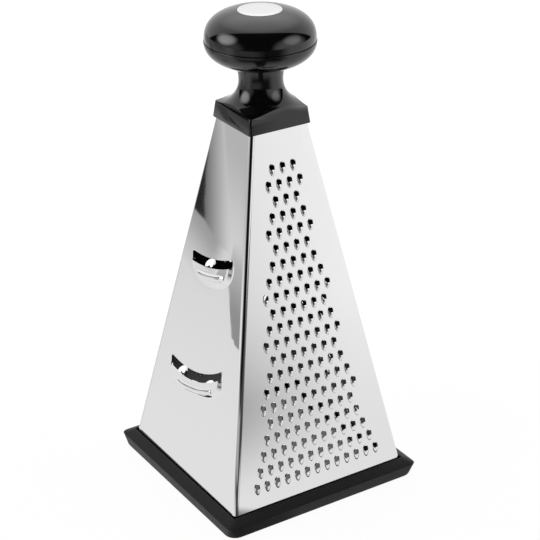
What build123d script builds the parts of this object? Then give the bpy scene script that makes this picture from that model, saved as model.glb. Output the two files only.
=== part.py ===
from build123d import *
import math
import os

# A four sided pyramid grater, in millimetres. The origin is at the middle of the underside,
# +Z is up, the fine side faces -Y, the slicing side -X, the medium side +X, the coarse side +Y.

# Steel body: four pressed sheets that make a square pyramid with its point cut off
sheet = 0.6
body_height = 197.4
body_bottom_width = 104.6
body_top_width = 31.2
bend_radius = 2.3
seam_gap = 0.1

# Lap flange of each sheet, which lies behind its neighbour
lap_gap = 0.05
flange_width = 4.0
flange_tuck = 1.3
flange_bottom_rise = 5.0
flange_top_drop = 7.0

# Tab at the top of each sheet, folded inwards under the collar
tab_depth = 5.6
tab_gap = 0.3

# Shredding teeth: a punched hole with a hooded scoop below it, mouth up
tooth_wall = 0.4
tooth_margin = 12.4

fine_tooth_width = 3.1
fine_tooth_rise = 1.25
fine_tooth_tail = 4.4
fine_hole_height = 2.3
fine_pitch = 6.05
fine_row_pitch = 7.96
fine_first_row = 17.0
fine_row_counts = (13, 12, 11, 10, 9, 10, 9, 8, 7, 8, 7, 6, 7, 6, 5, 4, 5, 4, 3, 4, 3)
fine_mouth_sides = 3

medium_tooth_width = 4.9
medium_tooth_rise = 1.8
medium_tooth_tail = 6.6
medium_hole_height = 3.6
medium_pitch = 10.0
medium_row_pitch = 13.0
medium_first_row = 18.0
medium_top_margin = 22.0
medium_mouth_sides = 3

coarse_tooth_width = 7.2
coarse_tooth_rise = 2.4
coarse_tooth_tail = 9.0
coarse_hole_height = 5.4
coarse_pitch = 12.0
coarse_row_pitch = 16.4
coarse_first_row = 18.7
coarse_top_margin = 22.0
coarse_mouth_sides = 4

# Slicing blades: a smiling slot above a raised lip with a stiffening bead
blade_tilt = 13.0
blade_rise = 2.0
blade_skirt = 3.2
lip_corner = 7.0
lip_side_margin = 0.8
bead_width = 2.4
bead_rise = 0.7
bead_drop = 4.0

upper_blade_side = -0.3
upper_blade_height = 125.2
upper_slot_length = 36.8
upper_slot_height = 4.0
upper_slot_radius = 80.0
upper_lip_depth = 15.1
upper_lip_elbow = 7.0
upper_bead_length = 24.0

lower_blade_side = -0.84
lower_blade_height = 62.9
lower_slot_length = 47.2
lower_slot_height = 4.2
lower_slot_radius = 62.0
lower_lip_depth = 14.0
lower_lip_elbow = 5.0
lower_bead_length = 34.0

# Base ring: a soft frame that grips the bottom edge of the steel in a groove
ring_foot_overhang = 4.2
ring_foot_corner = 6.0
ring_rim_overhang = 5.2
ring_rim_corner = 3.2
ring_rim_height = 6.4
ring_height = 9.1
ring_crest_land = 0.7
ring_groove_floor = 3.0
ring_groove_gap = 0.5
ring_lip_height = 6.6
ring_lip_gap = 0.15
ring_lip_thickness = 4.55
ring_edge_round = 0.8
seat_gap = 0.05

# Collar: a square cap over the top of the steel that flares up into a round neck
cap_overhang = 0.91
cap_taper = 0.121
cap_corner = 1.3
cap_skirt_depth = 6.0
cap_gap = 0.1
neck_radius = 10.95
neck_waist_rise = 14.8
neck_flare_radius = 12.7
neck_throat_radius = 20.0
neck_top_rise = 21.9
locating_boss_gap = 0.25

# Clamp plate, washer and tie bolt inside the top of the body
plate_thickness = 2.0
plate_gap = 0.3
plate_corner = 2.4
bolt_radius = 2.95
bolt_hole_gap = 0.25
bolt_head_width = 10.0
bolt_head_height = 4.0
bolt_end_gap = 1.0
bolt_head_chamfer = 0.8
bolt_end_chamfer = 0.6
washer_radius = 7.0
washer_thickness = 1.2
stack_gap = 0.05

# Knob: a lower and an upper shell that meet at the widest circle
knob_radius = 27.4
knob_lower_depth = 12.6
knob_upper_height = 15.0
knob_wall = 2.6
knob_boss_radius = 7.5
knob_floor = 3.0
knob_rim_height = 2.0
knob_rim_wall = 1.2
knob_fit_gap = 0.1
# Shares of the radius and of the height at which the curves' two pulling points lie
crown_shares = ((1.0, 0.25), (1.0, 0.84))
belly_shares = ((1.0, 0.73), (0.54, 0.955))
# Shares of the hollow's radius and height at its middle and its far end
hollow_shares = ((0.93, 0.6), (0.7, 1.0))

# Threaded insert in the knob, and the metal disc let into its top
insert_radius = 4.6
insert_length = 9.0
insert_groove_width = 1.4
insert_groove_depth = 0.5
insert_gap = 0.05
thread_gap = 0.05
disc_radius = 10.9
disc_thickness = 1.2
disc_edge = 0.2
disc_gap = 0.08
disc_seat_wall = 2.0

# How far a cutting shape runs past what it cuts
overrun = 0.5

# Heights that follow from the sizes above
body_taper = (body_bottom_width - body_top_width) / 2 / body_height
lean = math.degrees(math.atan(body_taper))
sheet_across = sheet / math.cos(math.radians(lean))
body_bottom = ring_groove_floor + seat_gap
body_top = body_bottom + body_height
cap_bottom = body_top - cap_skirt_depth
neck_waist = body_top + neck_waist_rise
collar_top = body_top + neck_top_rise
plate_top = body_top - sheet - stack_gap
washer_top = plate_top - plate_thickness - stack_gap
bolt_head_top = washer_top - washer_thickness - stack_gap
knob_bottom = collar_top + stack_gap
knob_equator = knob_bottom + knob_lower_depth
crown_top = knob_equator + knob_upper_height
insert_bottom = knob_bottom + knob_floor + stack_gap
insert_top = insert_bottom + insert_length
bolt_hole_radius = bolt_radius + bolt_hole_gap
disc_bottom = crown_top - disc_thickness
neck_top_radius = neck_radius + neck_throat_radius * (
    1 - math.cos(math.asin((collar_top - neck_waist) / neck_throat_radius))
)

# The front and right outer faces, each with its origin in the middle of its bottom edge
outwards = math.cos(math.radians(lean))
upwards = math.sin(math.radians(lean))
front_face = Plane(
    origin=(0, -body_bottom_width / 2, body_bottom), x_dir=(1, 0, 0), z_dir=(0, -outwards, upwards)
)
right_face = Plane(
    origin=(body_bottom_width / 2, 0, body_bottom), x_dir=(0, 1, 0), z_dir=(outwards, 0, upwards)
)
face_length = body_height / outwards


def body_half(height):
    """Half the width across the body's outer faces at a height above the ground."""
    return body_bottom_width / 2 - body_taper * (height - body_bottom)


def square_at(height, half, corner=0):
    """A square about the middle axis, with rounded corners where a radius is given."""
    with BuildSketch(Plane.XY.offset(height)) as outline:
        if corner > 0:
            RectangleRounded(2 * half, 2 * half, corner)
        else:
            Rectangle(2 * half, 2 * half)
    return outline.sketch


def plane_through(first, second, third):
    """The plane through three points."""
    first, second, third = Vector(first), Vector(second), Vector(third)
    return Plane(origin=first, z_dir=(second - first).cross(third - first))


def tapered_square(bottom, height, width, angle, corner):
    """A square block that narrows upwards, with its slanted edges rounded."""
    with BuildPart() as solid:
        with BuildSketch(Plane.XY.offset(bottom)):
            Rectangle(width, width)
        extrude(amount=height, taper=angle)
        fillet(solid.edges().filter_by(Plane.XY, reverse=True), corner)
    return solid.part


def half_round(half_width, height, sides):
    """Corners of a half ellipse drawn with a few straight sides, left to right."""
    turns = [math.pi * step / sides for step in range(sides + 1)]
    return [(-half_width * math.cos(turn), height * math.sin(turn)) for turn in turns]


def hood(half_width, rise, tail, root, sides):
    """A flat sided hood: its mouth is a half round, and it narrows to a point at its tail."""
    arch = [(x, root + z) for x, z in half_round(half_width, rise - root, sides)]
    point = (0, -tail, root)
    with BuildPart() as solid:
        with BuildSketch(Plane.XZ):
            Polygon(*arch, align=None)
        extrude(amount=tail)
        for (left, low), (right, high) in zip(arch, arch[1:]):
            side = plane_through(point, (left, 0, low), (right, 0, high))
            split(bisect_by=side, keep=Keep.TOP)
    return solid.part


def tooth_cutter(width, rise, tail, hole_height, sides):
    """What is punched out for one tooth: the hood's hollow and the hole above it."""
    half = width / 2 - tooth_wall
    with BuildPart() as cutter:
        add(hood(half, rise - tooth_wall, tail - tooth_wall, -sheet, sides))
        with BuildSketch(Plane.XY.offset(-sheet - overrun)):
            Polygon(*half_round(half, hole_height, sides), align=None)
        extrude(amount=sheet + 2 * overrun)
    return cutter.part


def half_span(up):
    """How far teeth may reach from the middle, at a distance up the face."""
    height = body_bottom + up * math.cos(math.radians(lean))
    return body_half(height) - tooth_margin


def tooth_places(pitch, row_pitch, first_row, rows, row_counts=None):
    """Places of a staggered field of teeth that narrows with the face."""
    places = []
    for row in range(rows):
        up = first_row + row * row_pitch
        fitting = int(2 * half_span(up) / pitch) + 1
        if row_counts:
            count = min(row_counts[row], fitting)
        else:
            # Every second row is moved sideways by half a pitch
            count = fitting - (fitting + row) % 2
        for place in range(count):
            places.append(((place - (count - 1) / 2) * pitch, up))
    return places


def rows_that_fit(row_pitch, first_row, top_margin):
    """How many rows of teeth lie between the first row and the top margin."""
    return int((face_length - top_margin - first_row) / row_pitch) + 1


def plain_panel():
    """One sheet of the body without its cutters: wall, right bend, flange and tab."""
    top_half = body_half(body_top)
    bottom_half = body_half(body_bottom)
    left_seam = plane_through(
        (-(bottom_half - bend_radius - seam_gap), -bottom_half, body_bottom),
        (-(top_half - bend_radius - seam_gap), -top_half, body_top),
        (-(bottom_half - bend_radius - seam_gap), 0, body_bottom),
    )
    right_seam = plane_through(
        (bottom_half, -(bottom_half - bend_radius), body_bottom),
        (top_half, -(top_half - bend_radius), body_top),
        (0, -(bottom_half - bend_radius), body_bottom),
    )
    flange_bottom = flange_bottom_rise
    flange_top = face_length - flange_top_drop
    flange_seams = [
        bend_radius - bottom_half + body_taper * outwards * up for up in (flange_bottom, flange_top)
    ]
    tab_outer = top_half - sheet_across / 2
    tab_inner = tab_outer - tab_depth
    tab_half = top_half - bend_radius - tab_gap
    with BuildPart() as panel:
        add(tapered_square(body_bottom, body_height, body_bottom_width, lean, bend_radius))
        add(
            tapered_square(
                body_bottom,
                body_height,
                body_bottom_width - 2 * sheet_across,
                lean,
                bend_radius - sheet,
            ),
            mode=Mode.SUBTRACT,
        )
        split(bisect_by=left_seam, keep=Keep.BOTTOM)
        split(bisect_by=right_seam, keep=Keep.TOP)
        with BuildSketch(right_face.offset(-sheet - lap_gap)):
            Polygon(
                (flange_seams[0] - flange_tuck, flange_bottom),
                (flange_seams[0] + flange_width, flange_bottom),
                (flange_seams[1] + flange_width, flange_top),
                (flange_seams[1] - flange_tuck, flange_top),
                align=None,
            )
        extrude(amount=-sheet)
        with BuildSketch(Plane.XY.offset(body_top - sheet)):
            # The tab's ends are mitred, so that four tabs lie in one layer
            Polygon(
                (-tab_half, -tab_outer),
                (tab_half, -tab_outer),
                (tab_half, -(tab_half + tab_gap)),
                (tab_inner - tab_gap, -tab_inner),
                (-(tab_inner - tab_gap), -tab_inner),
                (-tab_half, -(tab_half + tab_gap)),
                align=None,
            )
        extrude(amount=sheet)
    return panel.part


def shredding_panel(places, width, rise, tail, hole_height, sides, turn):
    """A sheet with a field of teeth, turned to its side of the body."""
    scoop = hood(width / 2, rise, tail, 0, sides)
    cutter = tooth_cutter(width, rise, tail, hole_height, sides)
    with BuildPart() as panel:
        add(plain_panel())
        with Locations(front_face):
            with Locations(*places):
                add(scoop)
                add(cutter, mode=Mode.SUBTRACT)
    return panel.part.rotate(Axis.Z, turn)


def lip_block(length, slot_height, radius, depth, elbow, inset):
    """The raised lip below a slot, or its hollow when it is moved in by an inset."""
    half = length / 2 + lip_side_margin - inset
    low = inset - depth
    with BuildPart() as lip:
        with BuildSketch() as outline:
            with BuildLine():
                ThreePointArc((-half, inset - elbow), (0, low), (half, inset - elbow))
                Polyline((half, inset - elbow), (half, depth), (-half, depth), (-half, inset - elbow))
            make_face()
            fillet(outline.vertices().filter_by_position(Axis.Y, low, 0), lip_corner - inset)
        extrude(amount=blade_rise, taper=math.degrees(math.atan(blade_skirt / blade_rise)))
        with BuildSketch():
            # The cutting edge is an arc, and nothing of the lip stands above it
            with Locations((0, radius - slot_height)):
                Circle(radius)
        extrude(amount=blade_rise, mode=Mode.SUBTRACT)
    return lip.part


def slot_cutter(length, slot_height, radius, depth):
    """What is cut away above the blade's edge: a slot between two equal arcs."""
    with BuildPart() as cutter:
        with BuildSketch(Plane.XY.offset(-sheet - overrun)):
            with Locations((0, radius - slot_height)):
                Circle(radius)
            with Locations((0, radius)):
                Circle(radius, mode=Mode.SUBTRACT)
            Rectangle(length, 2 * depth, mode=Mode.INTERSECT)
        extrude(amount=sheet + blade_rise + 2 * overrun)
    return cutter.part


def bead(slot_height, radius, length, width):
    """A low ridge that follows the blade's edge."""
    reach = radius + slot_height + bead_drop
    half_turn = math.degrees(length / 2 / reach)
    centre_line = CenterArc((0, radius), reach, 270 - half_turn, 2 * half_turn)
    with BuildPart() as ridge:
        with BuildSketch():
            SlotArc(centre_line, width)
        extrude(amount=bead_rise, taper=45)
    return ridge.part


def blade_parts(place, length, slot_height, radius, depth, elbow, bead_length):
    """All that one blade adds to the sheet and takes from it, as a pair of parts."""
    skirt_angle = math.atan(blade_rise / blade_skirt)
    inset = sheet * math.tan(skirt_angle / 2)
    lip = lip_block(length, slot_height, radius, depth, elbow, 0)
    hollow = lip_block(length, slot_height, radius, depth, elbow, inset)
    ridge = bead(slot_height, radius, bead_length, bead_width)
    ridge_hollow = bead(slot_height, radius, bead_length - bead_width / 2, bead_width - sheet)
    added = lip + Pos(0, 0, blade_rise) * ridge
    taken = (
        Pos(0, 0, -sheet) * hollow
        + Pos(0, 0, blade_rise - sheet) * ridge_hollow
        + slot_cutter(length, slot_height, radius, depth)
    )
    return place * added, place * taken


os.makedirs("parts", exist_ok=True)

# The side with two slicing blades
blades = (
    blade_parts(
        Location(front_face) * Pos(upper_blade_side, upper_blade_height, 0) * Rot(0, 0, blade_tilt),
        upper_slot_length,
        upper_slot_height,
        upper_slot_radius,
        upper_lip_depth,
        upper_lip_elbow,
        upper_bead_length,
    ),
    blade_parts(
        Location(front_face) * Pos(lower_blade_side, lower_blade_height, 0) * Rot(0, 0, blade_tilt),
        lower_slot_length,
        lower_slot_height,
        lower_slot_radius,
        lower_lip_depth,
        lower_lip_elbow,
        lower_bead_length,
    ),
)
with BuildPart() as slicing_sheet:
    add(plain_panel())
    for raised, cut_away in blades:
        add(raised)
        add(cut_away, mode=Mode.SUBTRACT)

with BuildPart() as slicing_panel:
    add(slicing_sheet.part.rotate(Axis.Z, -90))
slicing_panel.part.label = "slicing_panel"
export_step(slicing_panel.part, "parts/slicing_panel.step")

# The side with many small teeth
fine_places = tooth_places(
    fine_pitch, fine_row_pitch, fine_first_row, len(fine_row_counts), fine_row_counts
)
with BuildPart() as fine_panel:
    add(
        shredding_panel(
            fine_places,
            fine_tooth_width,
            fine_tooth_rise,
            fine_tooth_tail,
            fine_hole_height,
            fine_mouth_sides,
            0,
        )
    )
fine_panel.part.label = "fine_panel"
export_step(fine_panel.part, "parts/fine_panel.step")

# The side with middling teeth
medium_rows = rows_that_fit(medium_row_pitch, medium_first_row, medium_top_margin)
medium_places = tooth_places(medium_pitch, medium_row_pitch, medium_first_row, medium_rows)
with BuildPart() as medium_panel:
    add(
        shredding_panel(
            medium_places,
            medium_tooth_width,
            medium_tooth_rise,
            medium_tooth_tail,
            medium_hole_height,
            medium_mouth_sides,
            90,
        )
    )
medium_panel.part.label = "medium_panel"
export_step(medium_panel.part, "parts/medium_panel.step")

# The side with large teeth
coarse_rows = rows_that_fit(coarse_row_pitch, coarse_first_row, coarse_top_margin)
coarse_places = tooth_places(coarse_pitch, coarse_row_pitch, coarse_first_row, coarse_rows)
with BuildPart() as coarse_panel:
    add(
        shredding_panel(
            coarse_places,
            coarse_tooth_width,
            coarse_tooth_rise,
            coarse_tooth_tail,
            coarse_hole_height,
            coarse_mouth_sides,
            180,
        )
    )
coarse_panel.part.label = "coarse_panel"
export_step(coarse_panel.part, "parts/coarse_panel.step")

# The ring under the steel, with a groove that the steel's bottom edge stands in
ring_crest_half = body_half(ring_height) + ring_groove_gap + ring_crest_land
groove_half = body_half(ring_groove_floor) + ring_groove_gap
lip_half = body_half(ring_groove_floor) - sheet_across - ring_lip_gap
ring_inside_half = lip_half - ring_lip_thickness
with BuildPart() as base_ring:
    ring_foot = square_at(0, body_bottom_width / 2 + ring_foot_overhang, ring_foot_corner)
    ring_rim = square_at(
        ring_rim_height, body_bottom_width / 2 + ring_rim_overhang, ring_rim_corner
    )
    ring_crest = square_at(ring_height, ring_crest_half, ring_rim_corner)
    loft([ring_foot, ring_rim], ruled=True)
    fillet(base_ring.edges().group_by(Axis.Z)[0], ring_edge_round)
    loft([ring_rim, ring_crest], ruled=True)
    with BuildSketch(Plane.XY.offset(ring_groove_floor)):
        Rectangle(2 * groove_half, 2 * groove_half)
    extrude(amount=ring_height, taper=lean, mode=Mode.SUBTRACT)
    with BuildSketch(Plane.XY.offset(ring_groove_floor)):
        RectangleRounded(2 * lip_half, 2 * lip_half, bend_radius)
    extrude(amount=ring_lip_height - ring_groove_floor, taper=lean)
    with BuildSketch():
        RectangleRounded(2 * ring_inside_half, 2 * ring_inside_half, bend_radius)
    extrude(amount=ring_height, mode=Mode.SUBTRACT)
base_ring.part.label = "base_ring"
export_step(base_ring.part, "parts/base_ring.step")

# The collar: a square cap whose faces run up into a round neck
cap_lean = math.degrees(math.atan(cap_taper))
cap_bottom_width = 2 * (body_half(cap_bottom) + cap_overhang)
flare_reach = neck_radius + neck_flare_radius
throat_turn = math.degrees(math.asin((collar_top - neck_waist) / neck_throat_radius))
pocket_half = body_half(cap_bottom) + cap_gap
boss_half = body_half(body_top) - sheet_across / 2 - tab_depth - locating_boss_gap
with BuildPart() as collar:
    add(tapered_square(cap_bottom, collar_top - cap_bottom, cap_bottom_width, cap_lean, cap_corner))
    with BuildSketch(Plane.XZ):
        with BuildLine():
            CenterArc((flare_reach, neck_waist), neck_flare_radius, 180, 90)
            CenterArc(
                (neck_radius + neck_throat_radius, neck_waist), neck_throat_radius, 180, -throat_turn
            )
            Polyline(
                (flare_reach, neck_waist - neck_flare_radius),
                (cap_bottom_width, neck_waist - neck_flare_radius),
                (cap_bottom_width, cap_bottom),
                (0, cap_bottom),
                (0, collar_top),
                (neck_top_radius, collar_top),
            )
        make_face()
    revolve(axis=Axis.Z, mode=Mode.INTERSECT)
    with BuildSketch(Plane.XY.offset(cap_bottom)):
        RectangleRounded(2 * pocket_half, 2 * pocket_half, bend_radius)
    extrude(amount=cap_skirt_depth + stack_gap, taper=lean, mode=Mode.SUBTRACT)
    with BuildSketch(Plane.XY.offset(plate_top + stack_gap)):
        Rectangle(2 * boss_half, 2 * boss_half)
    extrude(amount=body_top - plate_top)
    with BuildSketch(Plane.XY.offset(cap_bottom)):
        Circle(bolt_hole_radius)
    extrude(amount=collar_top - cap_bottom, mode=Mode.SUBTRACT)
collar.part.label = "collar"
export_step(collar.part, "parts/collar.step")

# The plate that the bolt pulls up against the four tabs
plate_half = body_half(plate_top) - sheet_across - plate_gap
with BuildPart() as clamp_plate:
    with BuildSketch(Plane.XY.offset(plate_top - plate_thickness)):
        RectangleRounded(2 * plate_half, 2 * plate_half, plate_corner)
        Circle(bolt_hole_radius, mode=Mode.SUBTRACT)
    extrude(amount=plate_thickness)
clamp_plate.part.label = "clamp_plate"
export_step(clamp_plate.part, "parts/clamp_plate.step")

# The washer under the bolt's head
with BuildPart() as washer:
    with BuildSketch(Plane.XY.offset(washer_top - washer_thickness)):
        Circle(washer_radius)
        Circle(bolt_hole_radius, mode=Mode.SUBTRACT)
    extrude(amount=washer_thickness)
washer.part.label = "washer"
export_step(washer.part, "parts/washer.step")

# The bolt that ties the body, the collar and the knob together
bolt_end = insert_top - bolt_end_gap
with BuildPart() as tie_bolt:
    with BuildSketch(Plane.XY.offset(bolt_head_top - bolt_head_height)):
        RegularPolygon(bolt_head_width / 2, 6, major_radius=False)
    extrude(amount=bolt_head_height)
    chamfer(tie_bolt.edges().group_by(Axis.Z)[0], bolt_head_chamfer)
    with BuildSketch(Plane.XY.offset(bolt_head_top)):
        Circle(bolt_radius)
    extrude(amount=bolt_end - bolt_head_top)
    chamfer(tie_bolt.edges().group_by(Axis.Z)[-1], bolt_end_chamfer)
tie_bolt.part.label = "tie_bolt"
export_step(tie_bolt.part, "parts/tie_bolt.step")

# The knob's lower shell, with a boss for the insert and a tongue that fits the upper shell
tongue_radius = knob_radius - knob_wall - knob_fit_gap
hollow_radius = tongue_radius - knob_rim_wall
hollow_depth = knob_lower_depth - knob_floor
with BuildPart() as knob_base:
    with BuildSketch(Plane.XZ):
        with BuildLine():
            Bezier(
                (knob_radius, knob_equator),
                (
                    belly_shares[0][0] * knob_radius,
                    knob_equator - belly_shares[0][1] * knob_lower_depth,
                ),
                (
                    belly_shares[1][0] * knob_radius,
                    knob_equator - belly_shares[1][1] * knob_lower_depth,
                ),
                (neck_top_radius, knob_bottom),
            )
            Polyline(
                (neck_top_radius, knob_bottom),
                (0, knob_bottom),
                (0, knob_equator),
                (knob_radius, knob_equator),
            )
        make_face()
    revolve(axis=Axis.Z)
    with BuildSketch(Plane.XZ):
        Polygon(
            (knob_boss_radius, knob_equator),
            (knob_boss_radius, knob_bottom + knob_floor),
            (hollow_shares[1][0] * hollow_radius, knob_bottom + knob_floor),
            (
                hollow_shares[0][0] * hollow_radius,
                knob_equator - hollow_shares[0][1] * hollow_depth,
            ),
            (hollow_radius, knob_equator),
            align=None,
        )
    revolve(axis=Axis.Z, mode=Mode.SUBTRACT)
    with BuildSketch(Plane.XY.offset(knob_equator)):
        Circle(tongue_radius)
        Circle(hollow_radius, mode=Mode.SUBTRACT)
    extrude(amount=knob_rim_height)
    with BuildSketch(Plane.XY.offset(knob_bottom)):
        Circle(bolt_hole_radius)
    extrude(amount=knob_floor, mode=Mode.SUBTRACT)
    with BuildSketch(Plane.XY.offset(insert_bottom - stack_gap)):
        Circle(insert_radius + insert_gap)
    extrude(amount=knob_equator - insert_bottom + stack_gap, mode=Mode.SUBTRACT)
knob_base.part.label = "knob_base"
export_step(knob_base.part, "parts/knob_base.step")

# The threaded insert, with two grooves that key it into the boss
with BuildPart() as knob_insert:
    with BuildSketch(Plane.XY.offset(insert_bottom)):
        Circle(insert_radius)
        Circle(bolt_radius + thread_gap, mode=Mode.SUBTRACT)
    extrude(amount=insert_length)
    for groove in (1, 3):
        middle = insert_bottom + insert_length * groove / 4
        with BuildSketch(Plane.XY.offset(middle - insert_groove_width / 2)):
            Circle(insert_radius + insert_gap)
            Circle(insert_radius - insert_groove_depth, mode=Mode.SUBTRACT)
        extrude(amount=insert_groove_width, mode=Mode.SUBTRACT)
knob_insert.part.label = "knob_insert"
export_step(knob_insert.part, "parts/knob_insert.step")

# The knob's upper shell, with a round seat for the metal disc
seat_radius = disc_radius + disc_gap
knob_seam = knob_equator + stack_gap
dome_radius = knob_radius - knob_wall
dome_ceiling = disc_bottom - stack_gap - disc_seat_wall
with BuildPart() as knob_top:
    with BuildSketch(Plane.XZ):
        with BuildLine():
            Bezier(
                (knob_radius, knob_seam),
                (
                    crown_shares[0][0] * knob_radius,
                    knob_seam + crown_shares[0][1] * knob_upper_height,
                ),
                (
                    crown_shares[1][0] * knob_radius,
                    knob_seam + crown_shares[1][1] * knob_upper_height,
                ),
                (seat_radius, crown_top),
            )
            Polyline(
                (seat_radius, crown_top), (0, crown_top), (0, knob_seam), (knob_radius, knob_seam)
            )
        make_face()
    revolve(axis=Axis.Z)
    with BuildSketch(Plane.XZ):
        Polygon(
            (0, knob_seam),
            (dome_radius, knob_seam),
            (dome_radius, knob_seam + knob_rim_height),
            (
                hollow_shares[0][0] * dome_radius,
                knob_seam + hollow_shares[0][1] * (dome_ceiling - knob_seam),
            ),
            (hollow_shares[1][0] * dome_radius, dome_ceiling),
            (0, dome_ceiling),
            align=None,
        )
    revolve(axis=Axis.Z, mode=Mode.SUBTRACT)
    with BuildSketch(Plane.XY.offset(disc_bottom - stack_gap)):
        Circle(seat_radius)
    extrude(amount=disc_thickness + stack_gap, mode=Mode.SUBTRACT)
knob_top.part.label = "knob_top"
export_step(knob_top.part, "parts/knob_top.step")

# The metal disc that lies flush in the top of the knob
with BuildPart() as knob_disc:
    with BuildSketch(Plane.XY.offset(disc_bottom)):
        Circle(disc_radius)
    extrude(amount=disc_thickness)
    chamfer(knob_disc.edges().group_by(Axis.Z)[-1], disc_edge)
knob_disc.part.label = "knob_disc"
export_step(knob_disc.part, "parts/knob_disc.step")
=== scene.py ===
# %% [markdown]
# # A pyramid grater
#
# This file dresses the engineering model of a four sided grater for its portrait. The
# engineering solids give the sizes and places. Here each visible piece gets the soft
# edges, the true tooth shape and the surface finish that the eye looks for.
# Everything is in metres, with +Z up and the origin under the middle of the base.

import math

import bmesh
import bpy
from mathutils import Matrix, Vector


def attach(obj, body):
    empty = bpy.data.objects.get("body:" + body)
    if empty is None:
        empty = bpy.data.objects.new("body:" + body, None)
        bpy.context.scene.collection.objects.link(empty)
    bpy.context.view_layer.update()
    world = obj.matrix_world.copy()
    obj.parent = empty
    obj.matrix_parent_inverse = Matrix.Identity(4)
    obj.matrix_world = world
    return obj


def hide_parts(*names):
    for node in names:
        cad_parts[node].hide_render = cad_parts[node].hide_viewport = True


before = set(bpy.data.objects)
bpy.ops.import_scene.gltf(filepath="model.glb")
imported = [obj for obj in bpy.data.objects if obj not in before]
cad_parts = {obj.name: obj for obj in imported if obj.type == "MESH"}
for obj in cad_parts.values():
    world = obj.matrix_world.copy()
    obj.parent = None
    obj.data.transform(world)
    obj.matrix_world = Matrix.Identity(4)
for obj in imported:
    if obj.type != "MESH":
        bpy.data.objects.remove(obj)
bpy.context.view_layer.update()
print("engineering model:", sorted(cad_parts))

# %% [markdown]
# The sizes below are those of the engineering model, written in millimetres because
# that is how a kitchen tool is drawn. `mm` turns them into Blender's metres.

# %% Sizes
mm = 0.001

body_bottom, body_top = 3.05 * mm, 200.45 * mm
half_bottom, half_top = 52.3 * mm, 15.6 * mm
bend_radius = 2.3 * mm
sheet = 0.6 * mm
body_height = body_top - body_bottom
taper = (half_bottom - half_top) / body_height
lean = math.atan(taper)


def body_half(height):
    """Half the width across the steel at a height above the table."""
    return half_bottom - taper * (height - body_bottom)


# The front wall's plane: x runs right, y runs up the slope, z points out of the steel
front_wall = Matrix.Translation((0, -half_bottom, body_bottom)) @ Matrix.Rotation(
    math.pi / 2 - lean, 4, "X"
)
print("the walls lean", round(math.degrees(lean), 2), "degrees")

# %% [markdown]
# Small helpers are used all the way down. An operator acts on all that is selected, so
# `start_fresh` lets go of everything and `take` picks one piece. `choose` selects the
# faces, edges or points of the open mesh that pass a test, and `move_points` puts each
# point of a closed one where a rule says.

# %% Helpers for modelling
same_place = 1e-6  # points nearer to each other than this become one


def start_fresh():
    """Leaves edit mode and lets go of every object."""
    if bpy.context.object and bpy.context.object.mode == "EDIT":
        bpy.ops.object.mode_set(mode="OBJECT")
    bpy.ops.object.select_all(action="DESELECT")


def take(piece):
    """Makes one piece the selected and active object."""
    start_fresh()
    piece.select_set(True)
    bpy.context.view_layer.objects.active = piece


def name_new(name):
    """Names the object that was just added."""
    piece = bpy.context.object
    piece.name = piece.data.name = name
    return piece


def settle(piece):
    """Applies a piece's place, turn and size to its mesh."""
    take(piece)
    bpy.ops.object.transform_apply(location=True, rotation=True, scale=True)


def choose(kind, test):
    """In edit mode, selects the faces, edges or points that pass a test."""
    bpy.ops.mesh.select_all(action="DESELECT")
    bpy.ops.mesh.select_mode(type={"faces": "FACE", "edges": "EDGE", "verts": "VERT"}[kind])
    mesh = bmesh.from_edit_mesh(bpy.context.object.data)
    for part in getattr(mesh, kind):
        part.select_set(test(part))
    mesh.select_flush_mode()
    bmesh.update_edit_mesh(bpy.context.object.data)


def move_points(piece, rule):
    """Moves each point of a mesh to where a rule puts it."""
    for point in piece.data.vertices:
        point.co = rule(point.co)
    piece.data.update()


def cleaned(piece):
    """Merges doubled points and turns every face outwards."""
    take(piece)
    bpy.ops.object.mode_set(mode="EDIT")
    bpy.ops.mesh.select_all(action="SELECT")
    bpy.ops.mesh.remove_doubles(threshold=same_place)
    bpy.ops.mesh.normals_make_consistent(inside=False)
    bpy.ops.object.mode_set(mode="OBJECT")
    return piece


# %% [markdown]
# A modifier is added with its settings and applied at once. Boolean is the one used
# most: `carve` cuts a closed tool out of a piece, or joins it on. When a piece is done,
# `finish_piece` smooths it and lets it ride on the grater's body, in place of the
# engineering solids that it stands for.

# %% Helpers for whole pieces
def apply_modifier(piece, kind, **settings):
    """Adds one modifier with its settings and applies it."""
    take(piece)
    modifier = piece.modifiers.new(kind.title(), kind)
    for key, value in settings.items():
        setattr(modifier, key, value)
    bpy.ops.object.modifier_apply(modifier=modifier.name)


def carve(piece, tool, how="DIFFERENCE"):
    """Cuts a tool out of a piece, or joins it on, and puts the tool away."""
    apply_modifier(piece, "BOOLEAN", object=tool, operation=how, solver="MANIFOLD")
    bpy.data.objects.remove(tool)


def copy_of(piece, name):
    """A copy of a piece with its own mesh."""
    twin = piece.copy()
    twin.data = piece.data.copy()
    twin.name = twin.data.name = name
    bpy.context.scene.collection.objects.link(twin)
    return twin


def finish_piece(piece, stands_for, smooth_angle=35):
    """Smooths a finished piece and lets it ride in place of its engineering solids."""
    take(piece)
    bpy.ops.object.shade_smooth_by_angle(angle=math.radians(smooth_angle))
    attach(piece, "root")
    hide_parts(*stands_for)
    print("made", piece.name, "with", len(piece.data.polygons), "faces")
    return piece


# %% [markdown]
# ## The steel sheets
#
# The real body is four pressed sheets. Each makes one side and the rounded bend at
# its right edge, and hides a lap flange behind its neighbour. One could draw four
# trapeziums, but a cone with four sides is already the whole pyramid, and one bevel
# of its slanted edges makes all four bends alike. One side and one bend are kept, and
# the sheet gets its thickness from Solidify.

# %% The plain sheet
bend_steps = 8
seam_gap = 0.14 * mm


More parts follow.
